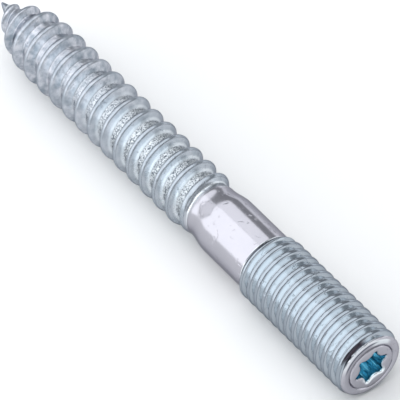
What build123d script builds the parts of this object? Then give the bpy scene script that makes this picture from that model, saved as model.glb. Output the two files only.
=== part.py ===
from build123d import *
import math
import os

os.makedirs("parts", exist_ok=True)

# Hanger bolt: one steel piece with a wood thread and gimlet point at one end, and at the
# other a machine end with a six-lobe drive socket pressed into its face. The axis is X,
# with the end face at x = 0 and the point towards -X. Both threads are right-hand.

overall_length = 65.0

# Machine end: the rolled thread's full diameter, and the plain shank behind it. The fine
# thread itself is not cut here.
machine_diameter = 8.0
machine_length = 17.6
machine_run_out = 0.8
shank_diameter = 7.05
shank_length = 7.4

# Neck: the thinner blank that the wood thread is rolled on.
neck_diameter = 6.3
neck_length = 1.3
neck_step = 0.03
shoulder_length = 0.7

# Wood thread, with a sharp crest. The front flank looks towards the machine end, the back
# flank to the point.
wood_diameter = 7.44
wood_root_diameter = 5.4
wood_pitch = 2.312
wood_front_angle = 26.0
wood_back_angle = 34.0
wood_run_out = 2.0
wood_start_angle = 190.8

# Gimlet point: its thread and its core both narrow to the tip.
point_length = 6.4
point_shoulder_length = 2.4
point_shoulder_diameter = 6.0
tip_diameter = 0.3
bare_tip_length = 1.3

# End face: a pressed disc inside a raised lip, then a bevel and the thread's chamfer.
lip_diameter = 6.4
lip_bore = 5.6
disc_diameter = 5.36
disc_depth = 0.14
bevel_diameter = 7.1
bevel_length = 0.2
chamfer_length = 0.65

# Six-lobe drive socket, size 20.
socket_across_lobes = 3.95
socket_across_flats = 2.85
socket_lobe_radius = 0.305
socket_depth = 2.5
socket_floor_angle = 120.0
socket_angle = 15.4

# Places along the axis, counted from the end face.
machine_back = -machine_length
shank_back = machine_back - shank_length
shoulder_back = shank_back - shoulder_length
neck_back = shoulder_back - neck_length
tip = -overall_length
point_front = tip + point_length

machine_radius = machine_diameter / 2
shank_radius = shank_diameter / 2
neck_radius = neck_diameter / 2
wood_radius = wood_diameter / 2
root_radius = wood_root_diameter / 2
tip_radius = tip_diameter / 2

# Each ridge is sunk a little into its core, so that it joins the core as one.
sink = 0.15

# Tools and cores run this far past what they cut or join.
beyond = 3.0


def turned(*outline):
    """Solid of revolution round the bolt's axis from (x, radius) points."""
    return revolve(make_face(Polyline(*outline, close=True)), Axis.X)


def ridge(x_start, x_end, cone_angle=0.0):
    """Wood thread ridge wound from x_start, on a core that narrows by cone_angle."""
    way = math.copysign(1, x_end - x_start)
    base = root_radius - sink
    front = (wood_radius - base) * math.tan(math.radians(wood_front_angle))
    back = (wood_radius - base) * math.tan(math.radians(wood_back_angle))
    path = Helix(wood_pitch, abs(x_end - x_start), base, (x_start, 0, 0), (way, 0, 0), -cone_angle)
    start = path @ 0
    path = path.rotate(Axis.X, 90 - math.degrees(math.atan2(start.Z, start.Y)))
    section = Polyline(
        (x_start + front, 0, base),
        (x_start, 0, wood_radius),
        (x_start - back, 0, base),
        close=True,
    )
    coil = sweep(make_face(section), path, is_frenet=True)
    return coil.rotate(Axis.X, wood_start_angle - 90 + 360 * x_start / wood_pitch)


# Wood thread on its core, from the point's shoulder into the neck. A long cone takes its
# crest down to the neck.
thread_front = neck_back + wood_pitch
thread_back = point_front - wood_pitch / 2
thread = ridge(thread_back, thread_front) + turned(
    (thread_back - beyond, 0),
    (thread_back - beyond, root_radius),
    (thread_front + beyond, root_radius),
    (thread_front + beyond, 0),
)
run_out_slope = (wood_radius - neck_radius + neck_step) / wood_run_out
run_out_tip = neck_back + (neck_radius - neck_step) / run_out_slope
thread -= turned(
    (run_out_tip, 0),
    (neck_back - wood_run_out - sink, wood_radius + sink * run_out_slope),
    (neck_back - wood_run_out - sink, wood_radius + beyond),
    (run_out_tip, wood_radius + beyond),
)
thread &= turned(
    (point_front, 0),
    (point_front, wood_radius + beyond),
    (neck_back, wood_radius + beyond),
    (neck_back, 0),
)

# Gimlet point: the ridge goes on round a cone, and is turned down to a sharp nose.
core_slope = (root_radius - tip_radius) / point_length
cone_angle = math.degrees(math.atan(core_slope))
point = ridge(point_front, tip + bare_tip_length, cone_angle) + turned(
    (point_front + beyond, 0),
    (point_front + beyond, root_radius + beyond * core_slope),
    (tip, tip_radius),
    (tip, 0),
)
shoulder_radius = point_shoulder_diameter / 2
shoulder_slope = (wood_radius - shoulder_radius) / point_shoulder_length
point -= turned(
    (tip - beyond, wood_radius + beyond),
    (tip - beyond, tip_radius),
    (tip, tip_radius),
    (point_front - point_shoulder_length, shoulder_radius),
    (point_front + beyond, wood_radius + beyond * shoulder_slope),
    (point_front + beyond, wood_radius + beyond),
)
point -= turned(
    (point_front, 0),
    (point_front, wood_radius + beyond),
    (point_front + 2 * beyond, wood_radius + beyond),
    (point_front + 2 * beyond, 0),
)

# Everything in front of the wood thread is turned: neck, shank, machine end, lip and disc.
front_body = turned(
    (-disc_depth, 0),
    (-disc_depth, disc_diameter / 2),
    (0, lip_bore / 2),
    (0, lip_diameter / 2),
    (-bevel_length, bevel_diameter / 2),
    (-bevel_length - chamfer_length, machine_radius),
    (machine_back + machine_run_out, machine_radius),
    (machine_back, shank_radius),
    (shank_back, shank_radius),
    (shoulder_back, neck_radius),
    (neck_back, neck_radius),
    (neck_back, 0),
)


def six_lobe_outline():
    """Socket outline: six lobe arcs joined by tangent arcs that bulge inwards."""
    lobe_centre = socket_across_lobes / 2 - socket_lobe_radius
    flat = socket_across_flats / 2
    # The inward arc's centre lies at flat + r, and both arcs touch: solved for r.
    c = math.cos(math.radians(30))
    numerator = lobe_centre**2 + flat**2 - 2 * lobe_centre * flat * c - socket_lobe_radius**2
    inward_radius = numerator / (2 * (socket_lobe_radius + lobe_centre * c - flat))
    inward_centre = flat + inward_radius
    touch = socket_lobe_radius / (socket_lobe_radius + inward_radius)
    arcs = []
    for i in range(6):
        mid = math.radians(60 * i)
        after = mid + math.radians(30)
        before = mid - math.radians(30)
        lobe = Vector(0, math.cos(mid), math.sin(mid)) * lobe_centre
        inner_after = Vector(0, math.cos(after), math.sin(after)) * inward_centre
        inner_before = Vector(0, math.cos(before), math.sin(before)) * inward_centre
        touch_after = lobe + (inner_after - lobe) * touch
        touch_before = lobe + (inner_before - lobe) * touch
        crown = Vector(0, math.cos(mid), math.sin(mid)) * (socket_across_lobes / 2)
        waist = Vector(0, math.cos(after), math.sin(after)) * flat
        next_mid = mid + math.radians(60)
        next_lobe = Vector(0, math.cos(next_mid), math.sin(next_mid)) * lobe_centre
        next_touch = next_lobe + (inner_after - next_lobe) * touch
        arcs.append(ThreePointArc(touch_before, crown, touch_after))
        arcs.append(ThreePointArc(touch_after, waist, next_touch))
    return Wire(arcs)


socket = extrude(make_face(six_lobe_outline()), socket_depth, dir=(-1, 0, 0))
floor_radius = socket_across_flats / 2
floor_rise = floor_radius / math.tan(math.radians(socket_floor_angle / 2))
socket += turned(
    (-socket_depth - floor_rise, 0),
    (-socket_depth, floor_radius),
    (-socket_depth + 0.1, floor_radius),
    (-socket_depth + 0.1, 0),
)

bolt = front_body + thread + point - socket.rotate(Axis.X, socket_angle)

export_step(bolt, "parts/hanger_bolt.step")
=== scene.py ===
import math

import bpy
import numpy as np
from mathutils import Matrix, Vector
from mathutils import noise as noise_field


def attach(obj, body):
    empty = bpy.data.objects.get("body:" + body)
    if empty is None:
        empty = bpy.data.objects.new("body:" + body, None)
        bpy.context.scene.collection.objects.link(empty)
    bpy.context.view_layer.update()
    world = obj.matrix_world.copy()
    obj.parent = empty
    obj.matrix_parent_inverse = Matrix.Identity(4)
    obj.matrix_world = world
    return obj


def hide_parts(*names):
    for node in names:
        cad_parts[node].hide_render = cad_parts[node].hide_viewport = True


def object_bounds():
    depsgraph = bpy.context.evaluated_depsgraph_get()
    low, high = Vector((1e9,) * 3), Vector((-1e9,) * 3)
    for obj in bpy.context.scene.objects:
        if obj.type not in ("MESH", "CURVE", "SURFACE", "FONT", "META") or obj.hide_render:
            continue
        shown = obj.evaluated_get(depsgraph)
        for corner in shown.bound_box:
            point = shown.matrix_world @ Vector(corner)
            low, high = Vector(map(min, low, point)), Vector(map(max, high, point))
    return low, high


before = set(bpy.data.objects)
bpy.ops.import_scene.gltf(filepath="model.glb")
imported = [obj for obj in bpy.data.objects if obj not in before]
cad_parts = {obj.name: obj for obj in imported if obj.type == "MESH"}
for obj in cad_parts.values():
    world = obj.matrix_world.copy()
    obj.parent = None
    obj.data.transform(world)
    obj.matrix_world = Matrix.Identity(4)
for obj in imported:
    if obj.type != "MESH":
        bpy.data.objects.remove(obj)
cad_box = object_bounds()


# End face: the header pressed a disc into it inside a raised round lip, a little off the
# middle. In the disc is the six-lobe drive socket, punched cold, with a conical floor.
# The bolt is one blank, so its surface is one skin, laid in rows of points round the axis.

columns = 114
lobe_angle = 15.4
bevel_back, bevel_radius = -0.20, 3.73
disc_radius, disc_depth = 2.58, 0.02
header_off_y, header_off_z = 0.12, -0.26
lobes_across, waists_across, lobe_round = 3.95, 2.85, 0.305
mouth_round = 0.28
blue_from, blue_to = 0.10, 0.22
socket_depth = 2.5
wall_taper = 0.02
floor_radius = 1.42

turn = (lobe_angle + 360.0 * np.arange(columns) / columns) / 360.0
around = (turn * 360.0 + 180.0) % 360.0 - 180.0
points, cells = [], []
marks = {
    "inside_socket": [], "rolled_thread": [], "back_flank_highlight": [], "torn_core": [], "crest_top": [],
    "crest_seam": [], "bright_edge": [], "painted_shade_pocket": [],
}


def smooth(value, low, high):
    """Goes gently from 0 at low to 1 at high."""
    t = np.clip((value - low) / (high - low), 0.0, 1.0)
    return t * t * (3.0 - 2.0 * t)


def band(value, start, full, fade, end):
    """Goes gently from 0 at start to 1 at full, and from 1 at fade back to 0 at end."""
    return smooth(value, start, full) * (1.0 - smooth(value, fade, end))


def lay(x, radius, aside=0.0, **shares):
    """Lays a row of points with its marks, from 0 to 1. Returns the number of its first point."""
    first = len(points) * columns
    row = np.zeros((columns, 3))
    row[:, 0] = x
    row[:, 1] = radius * np.cos(2.0 * math.pi * turn) + header_off_y * aside
    row[:, 2] = radius * np.sin(2.0 * math.pi * turn) + header_off_z * aside
    points.append(row)
    for name in marks:
        marks[name].append(np.zeros(columns) + shares.get(name, 0.0))
    return first


def join(row, next_row, lead=0):
    """Skins the strip between two rows, each a ring, or a turn that goes on lead points later."""
    last = columns - 1
    for j in range(last):
        cells.append((row + j, row + j + 1, next_row + j + 1, next_row + j))
    cells.append((row + last, row + lead, next_row + lead, next_row + last))


def socket_radius(angle):
    """Distance from the axis to the socket's wall at an angle in degrees from a lobe."""
    centre = lobes_across / 2 - lobe_round
    flat = waists_across / 2
    c30 = math.cos(math.radians(30))
    s30 = math.sin(math.radians(30))
    # The inward arc of a waist touches the lobes on both sides of it: solved for its radius.
    numerator = centre**2 + flat**2 - 2 * centre * flat * c30 - lobe_round**2
    inward = numerator / (2 * (lobe_round + centre * c30 - flat))
    hub = flat + inward
    a = np.radians(np.abs((angle + 30.0) % 60.0 - 30.0))
    lobe = centre * np.cos(a) + np.sqrt(np.maximum(lobe_round**2 - (centre * np.sin(a))**2, 0.0))
    b = math.radians(30) - a
    waist = hub * np.cos(b) - np.sqrt(np.maximum(inward**2 - (hub * np.sin(b))**2, 0.0))
    share = lobe_round / (lobe_round + inward)
    touch = math.atan2(hub * s30 * share, centre + (hub * c30 - centre) * share)
    return np.where(a < touch, lobe, waist)


# The sides of the face where highlights and shade are painted into the colour, seen from the head, by degrees
# from the right.
top_left = band(around, 70.0, 88.0, 150.0, 172.0)
top_right = band(around, 40.0, 55.0, 80.0, 95.0)
lower_right = band(-around, 10.0, 20.0, 62.0, 74.0)
bottom = band(-around, 20.0, 40.0, 120.0, 140.0)

# The lip's outer round and its crown, with a share of the header's place off the middle for each row.
# Highlights are painted on the bevel and round at the top left and on the crown at the top right, and a thin
# line of painted shade runs along the crown at the top left.
lip_round = ((-0.13, 3.70), (-0.07, 3.62), (-0.03, 3.53))
lip_crown = ((-0.005, 3.44, 0.1), (0.0, 3.38, 0.2), (0.0, 3.32, 0.3), (-0.005, 3.26, 0.4), (-0.02, 3.08, 0.6))
rows = [lay(bevel_back, bevel_radius, bright_edge=0.4 * top_left)]
for x, radius in lip_round:
    rows.append(lay(x, radius, bright_edge=0.5 * top_left))
for x, radius, aside in lip_crown:
    rows.append(lay(x, radius, aside, bright_edge=0.8 * top_right, crest_seam=top_left * (x == 0.0)))
rows.append(lay(-0.05, 2.93, 0.8))

# The groove that the header left round the disc, with shade painted dark into its bottom on the lower right.
for x, radius in ((-0.09, 2.84), (-0.14, 2.79), (-0.17, 2.75), (-0.12, 2.71), (-0.04, 2.66)):
    rows.append(lay(x, radius, 1.0, crest_seam=lower_right * (x < -0.10)))
rows.append(lay(-disc_depth, disc_radius, 1.0))

# The disc's land, the mouth that the punch rounded over, and the socket's walls and floor.
socket_wall = socket_radius(360.0 * turn - lobe_angle)
for share in (0.75, 0.45):
    rows.append(lay(-disc_depth, socket_wall + (disc_radius - socket_wall) * share, 1.0))
# A highlight is painted on the mouth's round at the bottom, above where the blue begins.
for degrees in (0, 22, 42, 58, 70, 80, 90):
    out = mouth_round * (1.0 - math.sin(math.radians(degrees)))
    sink = mouth_round * (1.0 - math.cos(math.radians(degrees)))
    blue = smooth(sink, blue_from, blue_to)
    rows.append(lay(-disc_depth - sink, socket_wall + out, 1.0, inside_socket=blue,
                    bright_edge=bottom * (sink < blue_to)))
for depth in (0.40, 0.7, 1.1, 1.5, 1.9, 2.2):
    rows.append(lay(-disc_depth - depth, socket_wall - wall_taper * depth, 1.0, inside_socket=1.0))
for depth, radius in (
    (0.0, np.minimum(socket_wall - 0.06, 1.8)), (0.02, np.minimum(socket_wall - 0.08, floor_radius)),
    (0.40, floor_radius - 0.70), (0.80, 0.02),
):
    rows.append(lay(-socket_depth - depth, radius, 1.0, inside_socket=1.0))
for row, next_row in zip(rows, rows[1:]):
    join(next_row, row)
cells.append(tuple(rows[-1] + j for j in range(columns)))


# Machine end: a fine right-hand thread rolled on the shank, chamfered at the face, where its
# first groove starts, and running out over a turn where it meets the shank. The dies lapped
# the metal over in a hair-fine seam along each crest.

machine_pitch = 1.25
machine_start = 5.0
crest_radius = 3.97
groove_radius = 3.32
shank_radius = 3.525
machine_back = -17.7
chamfer_back = -0.85
first_groove = -0.42
groove_fade = 1.5, 0.1
crest_fade = 0.8, 0.0
machine_seam = 0.23
machine_depth = crest_radius - groove_radius
machine_form = dict(
    crown_half=0.18, crown_round=0.50, edge_round=0.14, flank_angle=30.0, foot_round=0.12,
    depth=machine_depth,
)


def wind(pitch, start_angle, rails, x_from, x_to, surface):
    """Lays a right-hand thread between two planes, with a row for each rail across its pitch."""
    rows = []
    for whole in range(math.floor(x_from / pitch) - 2, math.ceil(x_to / pitch) + 2):
        for across in rails:
            x = np.clip(pitch * (turn - start_angle / 360.0 + whole + across), x_from, x_to)
            radius, shares = surface(x, across)
            rows.append(lay(x, radius, **shares))
    step = len(rails)
    for row, next_row in zip(rows[:-step - 1], rows[1:]):
        join(row, next_row, step * columns)


def thread_drop(away, crown_half, crown_round, edge_round, flank_angle, foot_round, depth):
    """How far a thread's side has sunk below its crest, at a distance from the crest's middle.

    The crown is an arc. An edge arc leads down to the straight flank, and a foot arc from there
    to the groove.
    """
    tilt = math.radians(90.0 - flank_angle)
    lean = math.asin(crown_half / crown_round)
    crown_drop = crown_round * (1.0 - math.cos(lean))
    crest_end = crown_half + edge_round * (math.sin(tilt) - math.sin(lean))
    flank_top = crown_drop + edge_round * (math.cos(lean) - math.cos(tilt))
    flank_foot = depth - foot_round * (1.0 - math.cos(tilt))
    foot_start = crest_end + (flank_foot - flank_top) / math.tan(tilt)
    foot_end = foot_start + foot_round * math.sin(tilt)
    if away < crown_half:
        return crown_round - math.sqrt(crown_round**2 - away**2)
    if away < crest_end:
        aside = away - crown_half + edge_round * math.sin(lean)
        return crown_drop + edge_round * math.cos(lean) - math.sqrt(edge_round**2 - aside**2)
    if away < foot_start:
        return flank_top + (away - crest_end) * math.tan(tilt)
    if away < foot_end:
        return depth - foot_round + math.sqrt(foot_round**2 - (foot_end - away)**2)
    return depth


# Rails are close together on the rounds. Each stands at a share of the pitch, and keeps a share
# of the thread's height.
crest_side = (0.0, 0.07, 0.13, 0.18, 0.205, machine_seam, 0.255, 0.385, 0.51, 0.555, 0.59)
next_side = tuple(machine_pitch - away for away in crest_side[:0:-1])
machine_height = {}
for rail in crest_side + (machine_pitch / 2,) + next_side:
    drop = thread_drop(min(rail, machine_pitch - rail), **machine_form)
    machine_height[rail / machine_pitch] = 1.0 - drop / machine_depth

# Painted shade: a dark line is painted where the last turn meets the shank, and a dark pocket where the first
# groove starts, each on one side only.
runout_shade_side = band(around, 84.0, 100.0, 134.0, 150.0)
pocket_shade_side = band(around, 88.0, 108.0, 138.0, 152.0)


def machine_surface(x, across):
    """The machine thread's radius and marks along a rail."""
    height = machine_height[across]
    to_shank = x - machine_back
    groove = groove_radius + (shank_radius - groove_radius) * smooth(to_shank, *groove_fade)
    groove = groove + (bevel_radius - groove) * smooth(x, first_groove, bevel_back)
    crest = crest_radius - (crest_radius - shank_radius) * smooth(to_shank, *crest_fade)
    chamfered = (bevel_back - x) / (bevel_back - chamfer_back)
    crest = np.minimum(crest, bevel_radius + (crest_radius + 0.03 - bevel_radius) * chamfered)
    seam = 0.9 * (abs(across * machine_pitch - machine_seam) < 0.01)
    # Shade painted along the last turn where it meets the shank, on one side.
    runout_shade = 0.9 * band(to_shank, 0.01, 0.10, 0.20, 0.30) * runout_shade_side
    crown = (1.0 - smooth(1.0 - height, 0.05, 0.25)) * (1.0 - smooth(to_shank, 1.3, 0.3))
    return groove + (crest - groove) * height, {
        "rolled_thread": smooth(to_shank, 0.0, 0.6),
        # A highlight is painted on the back flank.
        "back_flank_highlight": smooth(across, 0.50, 0.56) * smooth(1.0 - height, 0.02, 0.22),
        "crest_top": crown,
        "crest_seam": np.clip(seam + runout_shade, 0.0, 1.0),
        # Shade painted as a dark pocket at the start of the first groove, on one side.
        "painted_shade_pocket": band(x, -0.78, -0.68, -0.44, -0.30) * pocket_shade_side,
    }


wind(machine_pitch, machine_start, list(machine_height), machine_back, bevel_back, machine_surface)


# Shank and neck: plain drawn wire, as it came to the roller, with a soft shoulder down to the
# thinner neck that the wood thread was rolled on.

shoulder_front, shoulder_back = -24.2, -26.9
neck_back = -27.0
neck_radius = 3.15

rows = []
for x in np.linspace(machine_back, neck_back, 40):
    fall = smooth(x, shoulder_front, shoulder_back)
    rows.append(lay(x, shank_radius + (neck_radius - shank_radius) * fall))
for row, next_row in zip(rows, rows[1:]):
    join(next_row, row)


# Wood thread and gimlet point: a coarse right-hand ridge raised by flat dies. Its core is torn
# and galled between the ridges, more so towards the neck, and at the point all of it narrows.

MM = 0.001
tip = round(cad_box[0][0] / MM, 3)
wood_pitch = 2.312
wood_start = 190.8
wood_crest = 3.70
wood_core = 2.70
wood_seam = 0.26
nose_radius = 0.12
flake_height = 0.035
flakes_along, flakes_round = 3.2, 9.0
wood_depth = wood_crest - wood_core
front_form = dict(
    crown_half=0.20, crown_round=0.42, edge_round=0.20, flank_angle=26.5, foot_round=0.18,
    depth=wood_depth,
)
back_form = dict(front_form, flank_angle=32.0, foot_round=0.15)

# Radius of the crest and of the core, by the distance from the tip.
crest_line = (
    (0.0, nose_radius), (0.9, 0.50), (1.7, 1.10), (2.75, 1.95), (4.3, 2.70), (5.4, 3.15),
    (6.4, 3.42), (9.0, 3.60), (36.0, wood_crest), (38.0, neck_radius),
)
core_line = (
    (0.0, nose_radius), (0.9, 0.45), (6.4, 2.68), (7.5, wood_core), (36.2, wood_core),
    (38.0, neck_radius),
)

# Rails from the crest's middle down its front, over the groove's floor, and up the next back.
front_side = (0.0, 0.07, 0.14, 0.205, wood_seam, 0.30, 0.39, 0.48, 0.57, 0.62, 0.67, 0.72, 0.78)
groove_floor = (0.87, 0.96, 1.05, 1.14, 1.23, 1.32, 1.41)
back_side = (0.80, 0.74, 0.62, 0.45, 0.275, 0.225, 0.16, 0.08)
wood_height = {}
for rail in front_side + groove_floor:
    wood_height[rail / wood_pitch] = 1.0 - thread_drop(rail, **front_form) / wood_depth
for rail in back_side:
    wood_height[1.0 - rail / wood_pitch] = 1.0 - thread_drop(rail, **back_form) / wood_depth


def galling(x):
    """Torn metal along a row, from -1 where a flake is dug out to 0.7 where one stands up."""
    flakes = np.zeros(columns)
    for j in range(columns):
        angle = 2.0 * math.pi * turn[j]
        spot = Vector((x[j] * flakes_along, flakes_round * math.cos(angle), flakes_round * math.sin(angle)))
        flakes[j] = noise_field.noise(spot) + 0.6 * noise_field.noise(spot * 2.3)
    return np.clip(flakes * 1.6, -1.0, 0.7)


def wood_surface(x, across):
    """The wood thread's radius and marks along a rail."""
    height = wood_height[across]
    from_tip = x - tip
    crest = np.interp(from_tip, *zip(*crest_line))
    core = np.interp(from_tip, *zip(*core_line))
    radius = core + (crest - core) * height
    torn = band(from_tip, 10.0, 28.0, 36.5, 38.0) * band(across, 0.27, 0.33, 0.66, 0.72)
    if torn.max() > 0.0:
        radius = radius + flake_height * torn * galling(x)
    seam = 0.5 * (abs(across * wood_pitch - wood_seam) < 0.03)
    # A highlight is painted at the foot of each front flank, towards the neck.
    flank_foot = 0.6 * band(across, 0.22, 0.25, 0.27, 0.31)
    return radius, {
        "rolled_thread": smooth(neck_back - x, 0.0, 0.8),
        # A highlight is painted on the back flank.
        "back_flank_highlight": smooth(across, 0.60, 0.66) * smooth(1.0 - height, 0.02, 0.22),
        "torn_core": torn,
        "crest_top": 0.5 * (1.0 - smooth(1.0 - height, 0.02, 0.12)),
        "crest_seam": seam * smooth(from_tip, 18.0, 30.0),
        "bright_edge": flank_foot * smooth(from_tip, 12.0, 30.0),
    }


wind(wood_pitch, wood_start, list(wood_height), tip, neck_back, wood_surface)
nose = lay(tip, nose_radius)
nose_middle = lay(tip, 0.05)
join(nose_middle, nose)
cells.append(tuple(nose_middle + columns - 1 - j for j in range(columns)))


# The finished blank: its point came out of the dies bent a little aside. The rows become one
# closed skin. Points that lie on each other, as they do where a thread meets a plain ring, are
# made one, and strips that close up are dropped.

bent_length, bent_aside = 6.5, 0.26
bent_way = (0.871, 0.491)

every_point = np.concatenate(points)
along = every_point[:, 0].copy()
bend = bent_aside * np.clip((tip + bent_length - along) / bent_length, 0.0, 1.0)**1.5
every_point[:, 1:] += np.outer(bend, bent_way)
_, keep, same = np.unique(np.round(every_point, 4), axis=0, return_index=True, return_inverse=True)
same = same.reshape(-1)
faces = []
for cell in cells:
    corners = []
    for corner in same[list(cell)]:
        if not corners or corners[-1] != corner:
            corners.append(int(corner))
    if corners[0] == corners[-1]:
        corners.pop()
    if len(set(corners)) > 2 and len(set(corners)) == len(corners):
        faces.append(corners)
mesh = bpy.data.meshes.new("hanger_bolt_skin")
mesh.from_pydata((every_point[keep] * MM).tolist(), [], faces)

# Behind the shank the whole surface is duller, and the ridges grow softer towards the point.
skin_marks = {name: np.concatenate(row_marks) for name, row_marks in marks.items()}
skin_marks["wood_part"] = smooth(-along, 26.0, 28.0)
skin_marks["soft_thread"] = 0.25 * smooth(-along, 26.5, 28.0) + 0.75 * smooth(-along, 34.0, 56.0)
for name, values in skin_marks.items():
    layer = mesh.attributes.new(name, "FLOAT", "POINT")
    layer.data.foreach_set("value", values[keep].astype(np.float32))
mesh.polygons.foreach_set("use_smooth", [True] * len(mesh.polygons))
mesh.set_sharp_from_angle(angle=math.radians(50))
mesh.validate()


# Zinc plate: the rolled bolt is plated bright all over and passivated blue. It is torn and matt on the wood
# thread's core, patchy towards the point, and bluest inside the socket. Highlights are painted into the
# colour on the thread's back flanks and on edges of the face, mouth and flank feet, and shade is painted as
# dark lines on the face and at the shank and as a dark pocket in the first groove.

class Socket:
    """A shader socket that adds Math nodes when it is used in an expression."""

    def __init__(self, tree, link):
        self.tree = tree
        self.link = link

    def _math(self, operation, *values):
        return add_node(self.tree, "ShaderNodeMath", {"operation": operation}, dict(enumerate(values)))

    def __add__(self, other):
        return self._math("ADD", self, other)

    __radd__ = __add__

    def __mul__(self, other):
        return self._math("MULTIPLY", self, other)

    __rmul__ = __mul__

    def __sub__(self, other):
        return self._math("SUBTRACT", self, other)

    def __rsub__(self, other):
        return self._math("SUBTRACT", other, self)

    def clamped(self):
        return self._math("MINIMUM", self._math("MAXIMUM", self, 0.0), 1.0)


def add_node(tree, kind, settings=None, values=None, output=0):
    """Adds a node, sets it, then fills or links its sockets. Returns one output as a Socket."""
    node = tree.nodes.new(kind)
    for name, value in (settings or {}).items():
        if name == "stops":
            for element, (place, colour) in zip(node.color_ramp.elements, value):
                element.position = place
                element.color = (*colour, 1.0)
        else:
            setattr(node, name, value)
    for name, value in (values or {}).items():
        socket = node.inputs[name]
        if isinstance(value, Socket):
            tree.links.new(value.link, socket)
        elif isinstance(value, tuple) and len(value) == 3 and socket.type == "RGBA":
            socket.default_value = (*value, 1.0)
        else:
            socket.default_value = value
    return Socket(tree, node.outputs[output]) if len(node.outputs) else None


def mark(tree, name):
    """How far a named mark of the mesh holds at a point, from 0 to 1."""
    return add_node(tree, "ShaderNodeAttribute", {"attribute_name": name}, output=2)


def noise(tree, place, scale, detail, roughness=0.5):
    """An even, cloudy pattern from about 0 to 1."""
    return add_node(
        tree, "ShaderNodeTexNoise", {},
        {"Vector": place, "Scale": scale, "Detail": detail, "Roughness": roughness},
    )


def spots(tree, pattern, low, high):
    """Spots in a pattern: 0 where it is under low, 1 where it is over high."""
    stops = ((low, (0.0, 0.0, 0.0)), (high, (1.0, 1.0, 1.0)))
    return add_node(tree, "ShaderNodeValToRGB", {"stops": stops}, {"Fac": pattern})


def mix_colour(tree, factor, first, second):
    """The first colour where the factor is 0, going over to the second where it is 1."""
    return add_node(
        tree, "ShaderNodeMix", {"data_type": "RGBA"}, {"Factor": factor, 6: first, 7: second}, output=2,
    )


zinc = bpy.data.materials.new("blue_zinc_plate")
zinc.use_nodes = True
tree = zinc.node_tree
tree.nodes.clear()
wood = mark(tree, "wood_part")
soft = mark(tree, "soft_thread")
torn = mark(tree, "torn_core")
# Where highlights are painted: the back flanks and the marked edges.
painted_highlight = (mark(tree, "back_flank_highlight") + mark(tree, "bright_edge")).clamped()

place = add_node(tree, "ShaderNodeTexCoord", output=3)
cloud = noise(tree, place, 260.0, 3.0)
dents = noise(tree, place, 800.0, 3.0)
grain = noise(tree, place, 2600.0, 3.0, 0.6)
flakes = noise(tree, place, 5600.0, 3.0, 0.7)
chips = spots(tree, flakes, 0.42, 0.53)
nicks = spots(tree, noise(tree, place, 1500.0, 2.0), 0.63, 0.69)
patches = spots(tree, noise(tree, place, 1100.0, 4.0, 0.6), 0.34, 0.68)

drawn_wire = mix_colour(tree, cloud, (0.42, 0.42, 0.465), (0.485, 0.475, 0.52))
rolled = mix_colour(tree, cloud, (0.38, 0.425, 0.47), (0.44, 0.485, 0.53))
patchy = mix_colour(tree, patches, (0.28, 0.32, 0.37), (0.64, 0.65, 0.70))
worn = mix_colour(tree, cloud, (0.305, 0.345, 0.39), (0.335, 0.375, 0.42))
# Near-white colour of the painted highlights.
bright = mix_colour(tree, cloud, (0.86, 0.92, 0.95), (0.91, 0.95, 0.98))
ragged = mix_colour(tree, chips, (0.125, 0.15, 0.18), (0.69, 0.73, 0.76))
# Near-black colour of the painted shade in the first groove's pocket.
painted_shade_hollow = (0.05, 0.04, 0.05)
# Colour of the real crest seams, and of the lines of painted shade on the face and at the shank.
seam_and_shade_colour = (0.07, 0.08, 0.11)
socket_blue = (0.36, 0.68, 0.80)

colour = mix_colour(tree, mark(tree, "rolled_thread"), drawn_wire, rolled)
colour = mix_colour(tree, soft, colour, patchy)
colour = mix_colour(tree, mark(tree, "crest_top"), colour, worn)
colour = mix_colour(tree, painted_highlight, colour, bright)
colour = mix_colour(tree, torn, colour, ragged)
colour = mix_colour(tree, mark(tree, "painted_shade_pocket"), colour, painted_shade_hollow)
colour = mix_colour(tree, mark(tree, "crest_seam"), colour, seam_and_shade_colour)
colour = mix_colour(tree, mark(tree, "inside_socket"), colour, socket_blue)

relief = 0.015 * grain + (0.25 * wood + 1.1 * soft) * dents + flakes * torn - 0.3 * nicks
bump = add_node(tree, "ShaderNodeBump", {}, {"Strength": 1.0, "Distance": 0.00008, "Height": relief})
roughness = 0.13 + 0.08 * grain + 0.08 * wood + 0.06 * torn + 0.10 * soft
skin = add_node(
    tree, "ShaderNodeBsdfPrincipled", {},
    {"Base Color": colour, "Metallic": 1.0, "Roughness": roughness, "Specular Tint": (0.40, 0.40, 0.43),
     "Normal": bump},
)
add_node(tree, "ShaderNodeOutputMaterial", {}, {"Surface": skin})

bolt = bpy.data.objects.new("hanger_bolt_skin", mesh)
bpy.context.scene.collection.objects.link(bolt)
mesh.materials.append(zinc)
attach(bolt, "root")
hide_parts("hanger_bolt")


# Studio: a plain white table in an even grey room. Two large softboxes light the bolt's left
# side and its top. Weaker ones stand behind the point, before the end face and over the right
# side, and two low strips light the right side from near the table.

table_half = 3.0
table_height = round(cad_box[0][2] / MM, 2) - 0.02
table_colour = (0.84, 0.84, 0.84)
room_colour = (0.93, 0.96, 1.0)
room_strength = 0.42
lamp_colour = (0.97, 0.985, 1.0)

floor_mesh = bpy.data.meshes.new("table_top")
floor_mesh.from_pydata(
    [(-table_half, -table_half, 0), (table_half, -table_half, 0), (table_half, table_half, 0),
     (-table_half, table_half, 0)],
    [], [(0, 1, 2, 3)],
)
floor = bpy.data.objects.new("table_top", floor_mesh)
floor.location.z = table_height * MM
bpy.context.scene.collection.objects.link(floor)

paper = bpy.data.materials.new("white_table")
paper.use_nodes = True
tree = paper.node_tree
tree.nodes.clear()
matt = add_node(tree, "ShaderNodeBsdfDiffuse", {}, {"Color": table_colour})
add_node(tree, "ShaderNodeOutputMaterial", {}, {"Surface": matt})
floor_mesh.materials.append(paper)

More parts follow.
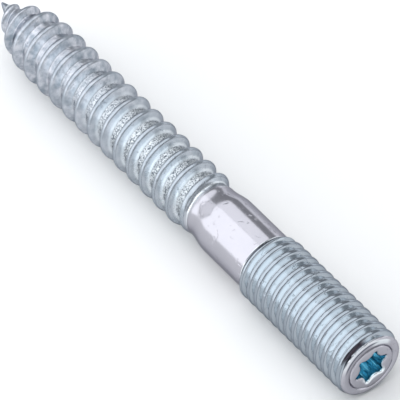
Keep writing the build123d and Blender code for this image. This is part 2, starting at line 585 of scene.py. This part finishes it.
room = bpy.data.worlds.new("grey_room")
room.use_nodes = True
tree = room.node_tree
tree.nodes.clear()
walls = add_node(tree, "ShaderNodeBackground", {}, {"Color": room_colour, "Strength": room_strength})
add_node(tree, "ShaderNodeOutputWorld", {}, {"Surface": walls})
bpy.context.scene.world = room


def softbox(name, centre, facing, width, height, radiance):
    """A rectangular lamp of an even brightness, turned to face a direction."""
    lamp = bpy.data.lights.new(name, "AREA")
    lamp.shape = "RECTANGLE"
    lamp.size = width
    lamp.size_y = height
    lamp.energy = radiance * math.pi * width * height
    lamp.color = lamp_colour
    box = bpy.data.objects.new(name, lamp)
    box.location = centre
    box.rotation_mode = "QUATERNION"
    box.rotation_quaternion = Vector(facing).to_track_quat("-Z", "Y")
    bpy.context.scene.collection.objects.link(box)


softbox("side_softbox", (-0.40, -0.70, 0.40), (0, 1, 0), 1.1, 0.80, 1.62)
softbox("top_softbox", (-0.27, -0.35, 0.80), (0, 0, -1), 1.46, 0.70, 1.62)
softbox("back_softbox", (-1.05, -0.33, 0.40), (1, 0, 0), 0.74, 0.80, 1.0)
softbox("front_softbox", (0.80, -0.40, 0.24), (-1, 0, 0), 1.06, 0.48, 0.75)
softbox("right_softbox", (-0.35, 0.40, 0.80), (0, 0, -1), 1.3, 0.78, 1.2)
softbox("low_right_strip", (-0.60, 0.90, 0.14), (0, -1, 0), 2.4, 0.26, 0.95)
softbox("front_right_strip", (0.75, 0.55, 0.16), (-0.8, -0.6, 0), 0.75, 0.30, 1.0)


# Camera: above the socket end and to its left, looking down along the bolt with a long lens.

camera_data = bpy.data.cameras.new("camera")
camera_data.lens = 531.8
camera_data.sensor_width = 36.0
camera_data.clip_start = 0.01
camera_data.clip_end = 20.0
camera = bpy.data.objects.new("camera", camera_data)
camera.location = (0.3096, -0.2525, 0.4483)
camera.rotation_mode = "QUATERNION"
camera.rotation_quaternion = Vector((-0.5497, 0.40985, -0.72777)).to_track_quat("-Z", "Y")
bpy.context.scene.collection.objects.link(camera)
bpy.context.scene.camera = camera
bpy.context.scene.view_settings.view_transform = "Standard"
